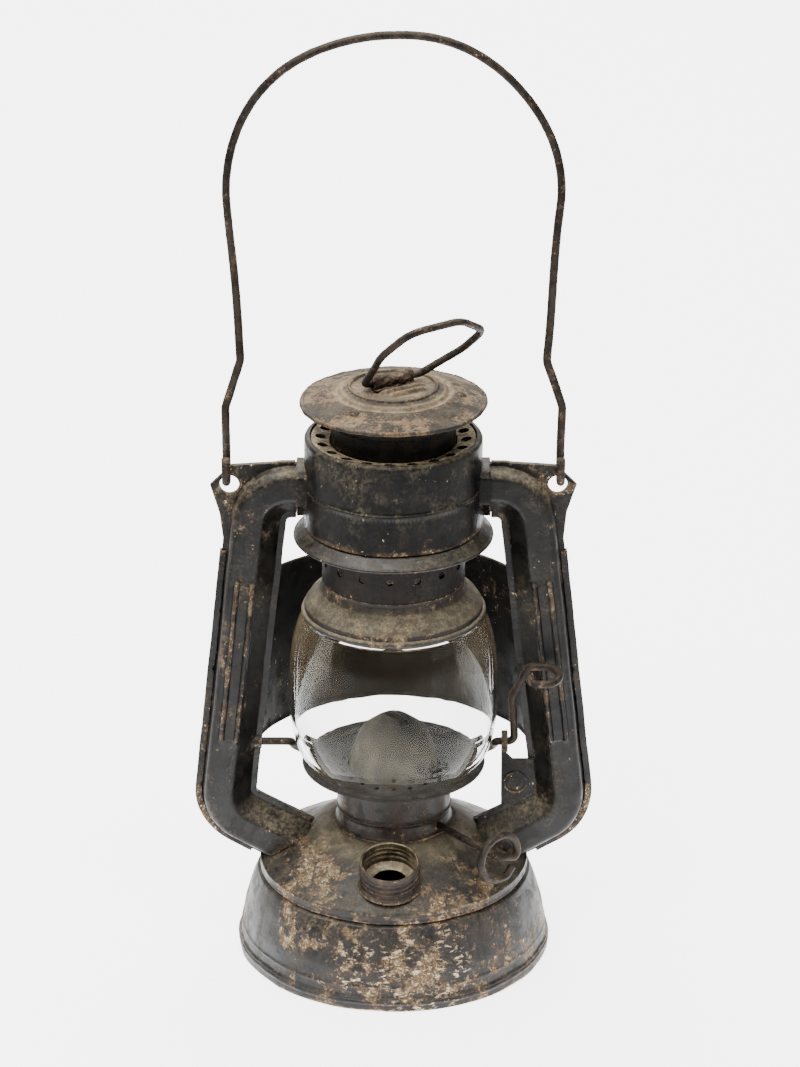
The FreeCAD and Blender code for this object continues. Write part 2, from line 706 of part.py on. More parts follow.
# ---- reflector and bracket ------------------------------------------------------------
def reflector():
    z0, z1 = REFLECTOR_Z
    sweep = 180.0 - 2 * REFLECTOR_END
    sheet = Part.Face(Part.makePolygon([
        polar(REFLECTOR_R - 0.4, z0), polar(REFLECTOR_R + 0.4, z0),
        polar(REFLECTOR_R + 0.4, z1), polar(REFLECTOR_R - 0.4, z1),
        polar(REFLECTOR_R - 0.4, z0)])).revolve(ORIGIN, Z_AXIS, sweep)
    sheet.rotate(ORIGIN, Z_AXIS, REFLECTOR_END)
    beads = []
    for z in (z0 + 0.5, z1 - 0.5):
        edge = Part.makeTorus(REFLECTOR_R, 0.8, V(0, 0, z), Z_AXIS, -180, 180, sweep)
        edge.rotate(ORIGIN, Z_AXIS, REFLECTOR_END)
        beads.append(edge)
    return fuse([sheet] + beads)


def reflector_clips():
    """Strips from the reflector's edges to the backs of the side tubes."""
    clips = []
    for z in (90.0, 132.0):
        leg_x = LEG_TOP_X + (ARM_Z - z) * (LEG_FOOT[0] - LEG_TOP_X) / (ARM_Z - LEG_FOOT[1])
        inner = about_z(REFLECTOR_R + 0.85, 0, 0, REFLECTOR_END + 6.0)
        edge = about_z(REFLECTOR_R + 0.85, 0, 0, REFLECTOR_END)
        line = [(inner.x, inner.y), (edge.x, edge.y), (leg_x - 3.6, TUBE_DEPTH + 1.25),
                (leg_x + 3.2, TUBE_DEPTH + 1.25)]

        def place(x, y):
            return V(x, y, z - 3.2)

        right = sheet_face(line, (1.4, 1.2), place, 0.8).extrude(V(0, 0, 6.4)).cut(reflector())
        clips += [right, mirrored(right, X_AXIS)]
    return Part.makeCompound(clips)


def lift_bracket():
    """Gusset on the right tube's inner flange, with the eye that carries the lift wire."""
    outline = [(41.2, 58.2), (44.6, 57.9), (53.6, 63.6), (53.4, 77.4), (45.4, 77.4),
               (42.6, 80.4), (41.2, 80.4)]
    plate = Part.Face(Part.makePolygon([V(x, 0, z) for x, z in outline + outline[:1]]))
    plate = plate.extrude(V(0, 1.0, 0))
    plate.translate(V(0, -2.0, 0))
    boss = Part.makeCylinder(4.6, 0.5, V(46.6, -2.0, 67.6), V(0, -1, 0))
    boss = boss.cut(Part.makeCylinder(3.9, 0.5, V(46.6, -2.1, 67.6), V(0, -1, 0)))
    flange = box(41.2, 42.3, -2.0, 3.2, 60.0, 82.0)
    eye = cylinder(4.2, V(41.2, 0, LIFT_AXIS_Z), X_AXIS, 2.3)
    bore = cylinder(LIFT_WIRE / 2 + RUN_CLEARANCE, V(30, 0, LIFT_AXIS_Z), X_AXIS, 30)
    return fuse([plate, boss, flange, eye]).cut(bore)


# ---- carrying wire --------------------------------------------------------------------
def bail():
    """Carrying wire; each end goes through an ear from behind and curls up in front."""
    r = BAIL_HOOK_R
    z = BAIL_PIVOT_Z
    hook = [V(BAIL_X, -r, z + 6.5), V(BAIL_X, -r, z - r), V(BAIL_X, r, z - r),
            V(BAIL_X, r, z + 6.0), V(61.9, 0, z + 17.0), V(61.9, 0, 221.2), V(55.9, 0, 239.4)]
    arch = [V(BAIL_ARCH_R, 0, BAIL_ARCH_Z), V(BAIL_ARCH_R, 0, BAIL_ARCH_Z + BAIL_ARCH_R)]
    right = hook + arch
    left = [V(-p.x, p.y, p.z) for p in reversed(right)]
    radii = [r - 0.02, r - 0.02, 8.0, 8.0, 6.0, 6.0, 30.0, BAIL_ARCH_R - 0.8]
    return wire_solid(right + left, radii + list(reversed(radii)), BAIL_WIRE)


# ---- all the nodes --------------------------------------------------------------------
def nodes():
    return {
        "tank_bottom": tank_bottom(),
        "tank_skirt": tank_skirt(),
        "tank_top": tank_top(),
        "filler_neck": filler_neck(),
        "burner_collar": burner_collar(),
        "burner_body": burner_body(),
        "air_plate": air_plate(),
        "wick_tube": wick_tube(),
        "burner_cone": burner_cone(),
        "left_tube_front": tube_half(True, -1),
        "left_tube_rear": tube_half(False, -1),
        "right_tube_front": tube_half(True, 1),
        "right_tube_rear": tube_half(False, 1),
        "left_tube_collar": tube_collar(-1),
        "right_tube_collar": tube_collar(1),
        "air_drum": air_drum(),
        "drum_flange": drum_flange(),
        "perforated_ring": perforated_ring(),
        "reflector": reflector(),
        "reflector_clips": reflector_clips(),
        "lift_bracket": lift_bracket(),
        "globe_plate": globe_plate(),
        "glass_globe": glass_globe(),
        "lift_wire": lift_wire(),
        "globe_bell": globe_bell(),
        "chimney_neck": chimney_neck(),
        "chimney_tube": chimney_tube(),
        "spring_seat": spring_seat(),
        "chimney_spring": chimney_spring(),
        "cap_legs": cap_legs(),
        "chimney_cap": chimney_cap(),
        "cap_rivets": cap_rivets(),
        "ring_strap": ring_strap(),
        "lift_ring": lift_ring(),
        "wick_knob": wick_knob(),
        "star_wheels": star_wheels(),
        "wick": wick(),
        "bail": bail(),
    }


def main():
    os.makedirs("parts", exist_ok=True)
    for name, shape in nodes().items():
        if not shape.isValid():
            print("not valid:", name)
        print(f"{name:18s} solids {len(shape.Solids)}  volume {shape.Volume / 1000:8.3f} cm3")
        shape.exportStep(f"parts/{name}.step")


main()
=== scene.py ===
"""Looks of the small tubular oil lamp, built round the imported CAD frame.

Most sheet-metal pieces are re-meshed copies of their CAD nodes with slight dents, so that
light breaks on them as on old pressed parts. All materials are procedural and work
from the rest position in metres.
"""
import json
import math

import bmesh
import bpy
from mathutils import Matrix, Vector, noise


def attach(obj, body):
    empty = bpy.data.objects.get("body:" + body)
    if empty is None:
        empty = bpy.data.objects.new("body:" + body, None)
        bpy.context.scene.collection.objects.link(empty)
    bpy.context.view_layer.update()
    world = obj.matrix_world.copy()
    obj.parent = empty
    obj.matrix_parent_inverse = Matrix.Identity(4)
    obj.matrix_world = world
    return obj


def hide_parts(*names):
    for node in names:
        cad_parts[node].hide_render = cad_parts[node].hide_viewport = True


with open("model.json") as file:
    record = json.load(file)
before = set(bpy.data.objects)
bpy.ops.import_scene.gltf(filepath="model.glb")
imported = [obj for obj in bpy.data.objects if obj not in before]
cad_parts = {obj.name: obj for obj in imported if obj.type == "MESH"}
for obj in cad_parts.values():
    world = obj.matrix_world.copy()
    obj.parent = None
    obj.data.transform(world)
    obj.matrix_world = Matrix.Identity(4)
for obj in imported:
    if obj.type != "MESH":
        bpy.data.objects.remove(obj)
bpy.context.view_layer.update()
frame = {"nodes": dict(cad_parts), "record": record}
MM = 0.001


# ---- node helpers ---------------------------------------------------------------------
class Tree:
    """Short names for the shader nodes that the materials are made of."""

    def __init__(self, name):
        self.material = bpy.data.materials.new(name)
        self.material.use_nodes = True
        self.tree = self.material.node_tree
        self.tree.nodes.clear()
        self.output = self.add("ShaderNodeOutputMaterial")
        self.shader = self.add("ShaderNodeBsdfPrincipled")
        self.link(self.shader.outputs[0], self.output.inputs[0])
        coords = self.add("ShaderNodeTexCoord")
        self.place = coords.outputs["Object"]
        self.normal = coords.outputs["Normal"]

    def add(self, kind, **values):
        node = self.tree.nodes.new(kind)
        for key, value in values.items():
            setattr(node, key, value)
        return node

    def link(self, source, socket):
        self.tree.links.new(source, socket)

    def put(self, socket, value):
        """Sets a socket to a number or colour, or links it to another node's output."""
        if isinstance(value, bpy.types.NodeSocket):
            self.link(value, socket)
        else:
            socket.default_value = value

    def noise(self, scale, detail=4.0, rough=0.55, distort=0.0, where=None):
        node = self.add("ShaderNodeTexNoise")
        self.put(node.inputs["Vector"], where or self.place)
        node.inputs["Scale"].default_value = scale
        node.inputs["Detail"].default_value = detail
        node.inputs["Roughness"].default_value = rough
        node.inputs["Distortion"].default_value = distort
        return node.outputs["Fac"]

    def stretched(self, x, y, z):
        """Rest position scaled by axis, for streaks."""
        node = self.add("ShaderNodeMapping")
        self.link(self.place, node.inputs["Vector"])
        node.inputs["Scale"].default_value = (x, y, z)
        return node.outputs[0]

    def math(self, operation, a, b=0.0, clamp=False):
        node = self.add("ShaderNodeMath", operation=operation, use_clamp=clamp)
        self.put(node.inputs[0], a)
        self.put(node.inputs[1], b)
        return node.outputs[0]

    def total(self, *parts):
        """Sum of (output, weight) pairs."""
        result = None
        for source, weight in parts:
            part = self.math("MULTIPLY", source, weight)
            result = part if result is None else self.math("ADD", result, part)
        return result

    def step(self, value, low, high):
        """0 at low and 1 at high, smooth between; high below low turns it round."""
        node = self.add("ShaderNodeMapRange", interpolation_type="SMOOTHSTEP")
        self.put(node.inputs["Value"], value)
        flip = high < low
        node.inputs["From Min"].default_value = high if flip else low
        node.inputs["From Max"].default_value = low if flip else high
        node.inputs["To Min"].default_value = 1.0 if flip else 0.0
        node.inputs["To Max"].default_value = 0.0 if flip else 1.0
        return node.outputs[0]

    def mix(self, amount, a, b):
        node = self.add("ShaderNodeMix", data_type="RGBA")
        self.put(node.inputs[0], amount)
        self.put(node.inputs[6], rgba(a))
        self.put(node.inputs[7], rgba(b))
        return node.outputs[2]

    def blend(self, amount, a, b):
        node = self.add("ShaderNodeMix", data_type="FLOAT")
        self.put(node.inputs[0], amount)
        self.put(node.inputs[2], a)
        self.put(node.inputs[3], b)
        return node.outputs[0]

    def axis(self, vector, which):
        node = self.add("ShaderNodeSeparateXYZ")
        self.link(vector, node.inputs[0])
        return node.outputs[which]

    def near(self, centre, radius, weight=1.0):
        """weight at the centre, in millimetres, falling to 0 at the radius."""
        node = self.add("ShaderNodeVectorMath", operation="DISTANCE")
        self.link(self.place, node.inputs[0])
        node.inputs[1].default_value = [v * MM for v in centre]
        return self.math("MULTIPLY", self.step(node.outputs["Value"], radius * MM, 0.0), weight)

    def radius(self):
        """Distance from the lamp's middle line."""
        flat = self.add("ShaderNodeVectorMath", operation="MULTIPLY")
        self.link(self.place, flat.inputs[0])
        flat.inputs[1].default_value = (1, 1, 0)
        node = self.add("ShaderNodeVectorMath", operation="LENGTH")
        self.link(flat.outputs[0], node.inputs[0])
        return node.outputs["Value"]

    def band(self, value, middle, half, soft):
        """1 within half of middle, 0 beyond soft more, in millimetres."""
        off = self.math("ABSOLUTE", self.math("SUBTRACT", value, middle * MM))
        return self.step(off, (half + soft) * MM, half * MM)

    def edges(self, low=0.51, high=0.58):
        """Convex edges, where paint wears first."""
        node = self.add("ShaderNodeNewGeometry")
        return self.step(node.outputs["Pointiness"], low, high)

    def bump(self, height, strength, distance, after=None):
        node = self.add("ShaderNodeBump")
        node.inputs["Strength"].default_value = strength
        node.inputs["Distance"].default_value = distance
        self.link(height, node.inputs["Height"])
        if after is not None:
            self.link(after, node.inputs["Normal"])
        return node.outputs[0]


def rgba(colour):
    if isinstance(colour, (tuple, list)) and len(colour) == 3:
        return (*colour, 1.0)
    return colour


def srgb(red, green, blue):
    """A colour given as it looks on a screen, 0 to 255, in linear light."""
    return tuple((c / 255 / 12.92 if c <= 10 else ((c / 255 + 0.055) / 1.055) ** 2.4)
                 for c in (red, green, blue))


# ---- materials ------------------------------------------------------------------------
def layered(name, paint, shade, patch, amount, scale=34.0, specks=0.4, chips=0.3,
            dust=0.5, dust_colour=(104, 95, 76), film=0.10, gloss=0.36, specular=0.14,
            edge=0.0, zones=(), dust_bands=(), metal_colour=(205, 184, 152), base_metal=0.0,
            soft=0.018, soot=None, ridges=None, hollow_shade=0.0, glints=()):
    """Painted or rusted sheet: paint in two shades, bare patches with bright specks, small
    chips, worn edges, and dust that lies on what faces up.

    zones: (centre, radius, weight) where the patches are denser. dust_bands: (radius,
    half width, soft, weight) rings round the middle line that hold dust. soot: (centre,
    radius) of a burnt spot. ridges: (from, to) depth in front of or behind the middle plane
    where pressed ribs are rubbed bare. cavity: how dark the painted shade in hollows is.
    glints: (centre, radius) where bare metal glints.
    """
    t = Tree(name)
    broad = t.noise(scale, 9.0, 0.64, 0.35)
    middle = t.noise(scale * 4.2, 6.0, 0.60, 0.5)
    fine = t.noise(scale * 17.0, 5.0, 0.62)
    grain = t.noise(1500.0, 3.0, 0.55)
    streaks = t.noise(150.0, 5.0, 0.62, 0.2, t.stretched(1.0, 1.0, 0.22))
    worn = t.total((broad, 0.52), (middle, 0.28), (fine, 0.20))
    for centre, radius, weight in zones:
        worn = t.math("ADD", worn, t.near(centre, radius, weight))
    if edge:
        worn = t.math("ADD", worn, t.math("MULTIPLY", t.edges(), edge))
    if ridges:
        depth = t.math("ABSOLUTE", t.axis(t.place, 1))
        rubbed = t.step(depth, ridges[0] * MM, ridges[1] * MM)
        worn = t.math("ADD", worn, t.math("MULTIPLY", rubbed, 0.07))
    limit = 0.66 - 0.28 * amount
    bare = t.step(worn, limit - soft, limit + soft)
    rim = t.step(worn, limit - 0.06, limit)

    colour = t.mix(t.step(streaks, 0.34, 0.66), srgb(*paint), srgb(*shade))
    mottle = t.noise(scale * 2.4, 8.0, 0.70, 0.3)
    dark = t.math("MULTIPLY", t.step(mottle, 0.54, 0.42), 0.55)
    colour = t.mix(dark, colour, srgb(*[c * 0.45 for c in paint]))
    colour = t.mix(t.math("MULTIPLY", t.step(fine, 0.58, 0.74), 0.65), colour, srgb(*patch[0]))
    colour = t.mix(t.math("MULTIPLY", rim, 0.55), colour, srgb(*patch[0]))
    under = t.mix(t.step(middle, 0.36, 0.58), srgb(*patch[0]), srgb(*patch[1]))
    under = t.mix(t.step(t.noise(scale * 9.0, 5.0, 0.6, 0.4), 0.50, 0.66), under, srgb(*patch[2]))
    colour = t.mix(t.math("MULTIPLY", bare, 0.92), colour, under)
    speck = t.math("MULTIPLY", t.step(grain, 0.60, 0.64), t.step(worn, limit - 0.01, limit + 0.05))
    chip = t.math("MULTIPLY", t.step(t.noise(620.0, 2.0, 0.5), 0.700, 0.725), chips)
    chip = t.math("MULTIPLY", chip, t.step(worn, 0.50, 0.60))
    metal = t.math("ADD", t.math("MULTIPLY", speck, specks), chip, clamp=True)
    for centre, radius in glints:
        spot = t.step(t.noise(520.0, 5.0, 0.66, 0.5, t.stretched(0.6, 0.6, 1.3)), 0.550, 0.605)
        here = t.math("MULTIPLY", t.step(t.near(centre, radius), 0.05, 0.55), t.step(middle, 0.40, 0.56))
        metal = t.math("ADD", metal, t.math("MULTIPLY", t.math("MULTIPLY", spot, here), 0.8), clamp=True)
    colour = t.mix(metal, colour, srgb(*metal_colour))

    up = t.step(t.axis(t.normal, 2), 0.10, 0.90)
    lying = t.math("MULTIPLY", up, t.step(t.noise(85.0, 7.0, 0.68, 0.3), 0.30, 0.58))
    # Painted shade: hollows, found by low pointiness, are darkened towards near-black.
    if hollow_shade:
        hollow_shade_mask = t.math("MULTIPLY", t.edges(0.492, 0.470), hollow_shade)
        colour = t.mix(hollow_shade_mask, colour, srgb(20, 16, 14))
    lying = t.math("MULTIPLY", lying, t.blend(t.step(fine, 0.40, 0.58), 0.35, 1.0))
    veil = t.math("MULTIPLY", t.step(t.noise(46.0, 8.0, 0.70), 0.46, 0.66), t.step(fine, 0.38, 0.62))
    dusty = t.total((lying, dust), (veil, film * 1.8))
    for ring, half, soft, weight in dust_bands:
        holds = t.math("MULTIPLY", t.band(t.radius(), ring, half, soft), up)
        dusty = t.math("ADD", dusty, t.math("MULTIPLY", holds, weight))
    dusty = t.math("MULTIPLY", dusty, t.blend(t.step(grain, 0.40, 0.60), 0.78, 1.0), clamp=True)
    powder = t.mix(t.step(middle, 0.38, 0.62), srgb(*[c * 0.80 for c in dust_colour]),
                   srgb(*dust_colour))
    colour = t.mix(dusty, colour, powder)
    if soot:
        colour = t.mix(t.near(*soot, 0.95), colour, srgb(14, 12, 11))
    t.link(colour, t.shader.inputs["Base Color"])

    rough = t.blend(t.step(streaks, 0.35, 0.68), gloss, gloss + 0.14)
    rough = t.blend(t.step(mottle, 0.46, 0.60), rough, gloss + 0.26)
    rough = t.blend(bare, rough, 0.58)
    rough = t.blend(metal, rough, 0.30)
    t.link(t.blend(dusty, rough, 0.93), t.shader.inputs["Roughness"])
    shine = t.blend(bare, base_metal, 0.30)
    shine = t.blend(metal, shine, 0.90)
    t.link(t.math("MULTIPLY", shine, t.math("SUBTRACT", 1.0, dusty)), t.shader.inputs["Metallic"])
    t.shader.inputs["Specular IOR Level"].default_value = specular
    height = t.total((bare, -0.55), (fine, 0.55), (grain, 0.22), (dusty, 0.25))
    broad_dents = t.bump(t.noise(150.0, 4.0, 0.55), 0.40, 0.0004)
    t.link(t.bump(height, 0.85, 0.00017, broad_dents), t.shader.inputs["Normal"])
    return t.material


def globe_glass():
    """Old blown glass: clear, with brown haze that thickens at foot and shoulder."""
    t = Tree("old_globe_glass")
    t.shader.inputs["Base Color"].default_value = (0.955, 0.965, 0.955, 1)
    t.shader.inputs["Transmission Weight"].default_value = 1.0
    t.shader.inputs["IOR"].default_value = 1.17
    smear = t.noise(60.0, 6.0, 0.62, 0.8, t.stretched(1.0, 1.0, 0.35))
    speck = t.step(t.noise(900.0, 2.0, 0.5), 0.70, 0.74)
    t.link(t.blend(t.step(smear, 0.46, 0.70), 0.012, 0.055), t.shader.inputs["Roughness"])
    waves = t.noise(42.0, 2.0, 0.5, 0.0, t.stretched(1.0, 1.0, 0.5))
    t.link(t.bump(waves, 0.25, 0.0006), t.shader.inputs["Normal"])
    dust = t.add("ShaderNodeBsdfDiffuse")
    tone = t.mix(t.step(t.noise(70.0, 4.0, 0.6), 0.4, 0.6), srgb(84, 70, 50), srgb(124, 112, 90))
    t.link(tone, dust.inputs[0])
    height = t.axis(t.place, 2)
    height = t.math("ADD", height, t.math("MULTIPLY", t.noise(30.0, 3.0, 0.6), 0.03))
    top = t.step(height, 0.122, 0.152)
    foot = t.step(height, 0.106, 0.090)
    side = t.add("ShaderNodeLayerWeight")
    side.inputs[0].default_value = 0.32
    rim = t.step(side.outputs["Facing"], 0.60, 1.0)
    cloud = t.noise(24.0, 3.0, 0.5)
    flank = t.step(t.math("ABSOLUTE", t.axis(t.place, 0)), 0.016, 0.036)
    cloud = t.math("MULTIPLY", cloud, t.blend(flank, 0.12, 1.0))
    haze = t.total((t.step(smear, 0.48, 0.82), 0.05), (t.math("MULTIPLY", top, cloud), 0.34),
                   (t.math("MULTIPLY", foot, cloud), 0.22), (speck, 0.18), (rim, 0.12))
    haze = t.math("ADD", haze, 0.004, clamp=True)
    hazy = t.add("ShaderNodeMixShader")
    t.link(haze, hazy.inputs[0])
    t.link(t.shader.outputs[0], hazy.inputs[1])
    t.link(dust.outputs[0], hazy.inputs[2])
    clear = t.add("ShaderNodeBsdfTransparent")
    clear.inputs[0].default_value = (0.86, 0.86, 0.84, 1)
    path = t.add("ShaderNodeLightPath")
    shown = t.add("ShaderNodeMixShader")
    t.link(path.outputs["Is Shadow Ray"], shown.inputs[0])
    t.link(hazy.outputs[0], shown.inputs[1])
    t.link(clear.outputs[0], shown.inputs[2])
    t.link(shown.outputs[0], t.output.inputs[0])
    return t.material


def wick_cotton():
    t = Tree("charred_cotton")
    weave = t.add("ShaderNodeTexWave", bands_direction="Z")
    t.link(t.place, weave.inputs["Vector"])
    weave.inputs["Scale"].default_value = 420.0
    weave.inputs["Distortion"].default_value = 1.5
    char = t.step(t.axis(t.place, 2), 0.074, 0.0785)
    tone = t.mix(weave.outputs["Fac"], srgb(150, 138, 112), srgb(196, 184, 154))
    t.link(t.mix(char, tone, srgb(20, 17, 15)), t.shader.inputs["Base Color"])
    t.shader.inputs["Roughness"].default_value = 0.95
    t.link(t.bump(weave.outputs["Fac"], 0.6, 0.0003), t.shader.inputs["Normal"])
    return t.material


TAN = ((54, 39, 29), (92, 72, 50), (140, 126, 98))
RUST = ((50, 37, 30), (84, 60, 45), (100, 88, 72))
BLACK = dict(paint=(8, 8, 8), shade=(21, 18, 16), patch=((38, 30, 25), (70, 56, 43), (104, 94, 76)))


def make_materials():
    """Every finish by a short name."""
    return {
        "tank": layered(
            "tank_lacquer", (14, 16, 20), (40, 35, 31), TAN, 0.36, scale=52.0, specks=0.80,
            chips=0.7, dust=0.32, film=0.08, gloss=0.33, specular=0.26, edge=0.16, soft=0.022,
            hollow_shade=0.5,
            zones=(((-12, -56, 19), 34, 0.042), ((26, -50, 20), 30, 0.040), ((-40, -38, 20), 24, 0.03),
                   ((-30, -30, 44), 20, 0.070), ((20, -36, 41), 16, 0.040),
                   ((-10, 50, 24), 40, 0.05), ((52, 10, 14), 26, 0.05)),
            dust_bands=((24, 3.5, 8, 0.65),), dust_colour=(112, 103, 82),
            glints=(((12, -58, 16), 30), ((-14, -56, 17), 16), ((-34, -26, 43), 12))),
        "tube": layered(
            "tube_lacquer", **BLACK, amount=0.27, scale=46.0, specks=0.55, chips=0.8,
            dust=1.0, film=0.16, gloss=0.27, specular=0.22, edge=0.09, ridges=(8.3, 8.9),
            hollow_shade=0.5,
            zones=(((-72, -4, 95), 34, 0.05), ((62, -4, 175), 26, 0.04), ((-66, -6, 150), 24, 0.02),
                   ((-58, -6, 182), 22, 0.03), ((66, -5, 110), 26, 0.03))),
        "drum": layered(
            "drum_lacquer", **BLACK, amount=0.20, scale=44.0, specks=0.5, chips=1.0,
            dust=0.60, film=0.24, gloss=0.24, specular=0.14, edge=0.12),
        "lip": layered(
            "lip_lacquer", **BLACK, amount=0.26, scale=50.0, specks=0.6, chips=0.8,
            dust=0.42, film=0.10, gloss=0.28, specular=0.30, edge=0.14,
            zones=(((10, -36, 172), 20, 0.04),)),
        "neck": layered(
            "neck_lacquer", (15, 13, 12), (34, 28, 25), RUST, 0.16, scale=64.0, specks=0.3,
            chips=0.5, dust=0.5, film=0.10, gloss=0.42),
        "bell": layered(
            "bell_dusty", (18, 15, 13), (38, 31, 26), TAN, 0.33, scale=76.0, specks=0.9,
            chips=0.8, dust=0.88, dust_colour=(126, 116, 94), film=0.10, gloss=0.34, specular=0.3,
            edge=0.10, zones=(((0, -34, 143), 15, 0.06),), dust_bands=((31, 3.5, 2, 0.35),)),
        "collar": layered(
            "collar_lacquer", (24, 21, 19), (56, 45, 38), TAN, 0.27, scale=64.0, specks=0.5,
            chips=0.5, dust=0.55, film=0.16, gloss=0.36, specular=0.24, edge=0.08),
        "plate": layered(
            "plate_dusty", (20, 18, 17), (42, 35, 30), RUST, 0.22, scale=60.0, specks=0.4,
            chips=0.4, dust=1.0, dust_colour=(66, 65, 63), film=0.10, gloss=0.48),
        "reflector": layered(
            "reflector_black", (8, 8, 8), (20, 18, 16), BLACK["patch"], 0.14, scale=50.0,
            specks=0.35, chips=0.6, dust=0.5, film=0.05, gloss=0.46, specular=0.10, edge=0.10),
        "cap": layered(
            "cap_rust", (36, 33, 29), (58, 52, 44), ((28, 24, 20), (88, 66, 44), (98, 90, 70)),
            0.50, scale=64.0, specks=0.15, chips=0.2, dust=0.25, dust_colour=(134, 118, 94),
            film=0.16, gloss=0.60, soft=0.03, hollow_shade=0.9,
            dust_bands=((20.6, 1.0, 1.6, 0.8), (10.0, 3.0, 4.0, 0.25)), base_metal=0.1),
        "crust": layered(
            "strap_crust", (30, 25, 22), (58, 44, 36), RUST, 0.45, scale=140.0, specks=0.1,
            chips=0.05, dust=0.35, dust_colour=(108, 98, 78), film=0.10, gloss=0.75, soft=0.03),
        "ring": layered(
            "ring_top_dust", (30, 26, 23), (50, 43, 36), RUST, 0.22, scale=60.0, specks=0.2,
            chips=0.2, dust=1.6, dust_colour=(196, 178, 144), film=0.16, gloss=0.6),
        "flue": layered(
            "flue_sooty", (16, 14, 13), (38, 31, 27), RUST, 0.20, scale=55.0, specks=0.3,
            chips=0.4, dust=0.35, film=0.12, gloss=0.42),
        "wire": layered(
            "old_wire", (30, 27, 25), (60, 52, 45), ((42, 33, 28), (82, 62, 49), (108, 96, 82)),
            0.36, scale=95.0, specks=0.45, chips=0.4, dust=0.22, film=0.12, gloss=0.42,
            base_metal=0.45, soft=0.03),
        "brass": layered(
            "sooty_brass", (84, 78, 66), (112, 104, 88), ((46, 39, 30), (108, 92, 64), (104, 102, 94)),
            0.30, scale=80.0, specks=0.3, chips=0.2, dust=0.75, dust_colour=(56, 55, 54),
            film=0.45, gloss=0.5, base_metal=0.3, soot=((6, -3, 93), 20)),
        "nickel": layered(
            "neck_tinned", (100, 90, 70), (162, 148, 120), ((62, 50, 40), (108, 90, 66), (164, 152, 128)),
            0.30, scale=120.0, specks=0.6, chips=0.1, dust=0.20, film=0.12, gloss=0.26,
            specular=0.5, base_metal=0.8, metal_colour=(220, 212, 194)),
        "thread": layered(
            "neck_outside", (28, 24, 21), (58, 48, 40), RUST, 0.40, scale=120.0, specks=0.5,
            chips=0.3, dust=0.30, film=0.12, gloss=0.36, specular=0.3, edge=0.12, base_metal=0.4),
        "spring": layered(
            "spring_wire", (40, 37, 34), (64, 58, 52), RUST, 0.30, scale=110.0, specks=0.3,
            chips=0.1, dust=0.3, film=0.12, gloss=0.4, base_metal=0.8),
        "glass": globe_glass(),
        "cotton": wick_cotton(),
    }


# ---- re-meshed copies of CAD nodes ----------------------------------------------------
def body_of(node):
    return next(b for b, names in frame["record"]["behaviour"]["bodies"].items() if node in names)


def wobble(point, size, amount):
    """Smooth displacement in metres; size and amount are in millimetres."""
    return noise.noise_vector(point / (size * MM)) * (amount * MM)


def dents(broad=0.22, small=0.07):
    def shape(point):
        return wobble(point, 17.0, broad) + wobble(point, 5.0, small)
    return shape


def finish_piece(name, bm, node, material, sharp=32):
    mesh = bpy.data.meshes.new(name)
    bm.normal_update()
    bm.to_mesh(mesh)
    bm.free()
    mesh.validate()
    mesh.shade_smooth()
    mesh.set_sharp_from_angle(angle=math.radians(sharp))
    piece = bpy.data.objects.new(name, mesh)
    bpy.context.scene.collection.objects.link(piece)
    mesh.materials.append(material)
    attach(piece, body_of(node))
    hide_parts(node)
    return piece


def weathered(node, material, longest=2.4, shape=dents(), sharp=32):
    """Copy of a CAD node with no edge over the longest, in millimetres, moved by shape."""
    bm = bmesh.new()
    bm.from_mesh(frame["nodes"][node].data)
    bmesh.ops.remove_doubles(bm, verts=bm.verts, dist=2e-6)
    for _ in range(7):
        long_edges = [e for e in bm.edges if e.calc_length() > longest * MM]
        if not long_edges:
            break
        bmesh.ops.subdivide_edges(bm, edges=long_edges, cuts=1)
        bmesh.ops.triangulate(bm, faces=[f for f in bm.faces if len(f.verts) > 3])
    for vert in bm.verts:
        vert.co += shape(vert.co)
    return finish_piece(node + "_worn", bm, node, material, sharp)


def outline_of(node, degrees):
    """Closed or open outline of a turned CAD node at that angle, as (radius, height) points."""
    angle = math.radians(degrees)
    side = Vector((math.cos(angle), math.sin(angle), 0))
    bm = bmesh.new()
    bm.from_mesh(frame["nodes"][node].data)
    bmesh.ops.remove_doubles(bm, verts=bm.verts, dist=2e-6)
    everything = bm.verts[:] + bm.edges[:] + bm.faces[:]
    cut = bmesh.ops.bisect_plane(bm, geom=everything, dist=1e-7, plane_co=(0, 0, 0),
                                 plane_no=(-side.y, side.x, 0))["geom_cut"]
    links = {}
    for edge in (e for e in cut if isinstance(e, bmesh.types.BMEdge)):
        a, b = edge.verts
        if (a.co + b.co).dot(side) > -1e-7:
            links.setdefault(a, []).append(b)
            links.setdefault(b, []).append(a)
    ends = [v for v, near in links.items() if len(near) == 1]
    vert = ends[0] if ends else max(links, key=lambda v: v.co.dot(side))
    chain, seen = [], set()
    while vert is not None:
        seen.add(vert)
        chain.append((max(vert.co.dot(side), 0.0), vert.co.z))
        vert = next((v for v in links[vert] if v not in seen), None)
    bm.free()
    return chain, not ends


def even(points, closed, spacing):
    """The outline with points at most spacing apart and none closer than a fifth of it."""
    spacing *= MM
    result = [points[0]]
    for target in points[1:] + (points[:1] if closed else []):
        start = result[-1]
        length = math.dist(start, target)
        if length < spacing * 0.2:
            continue
        count = max(1, math.ceil(length / spacing))
        for k in range(1, count + 1):
            result.append(tuple(s + (e - s) * k / count for s, e in zip(start, target)))
    if closed:
        result.pop()
    return result


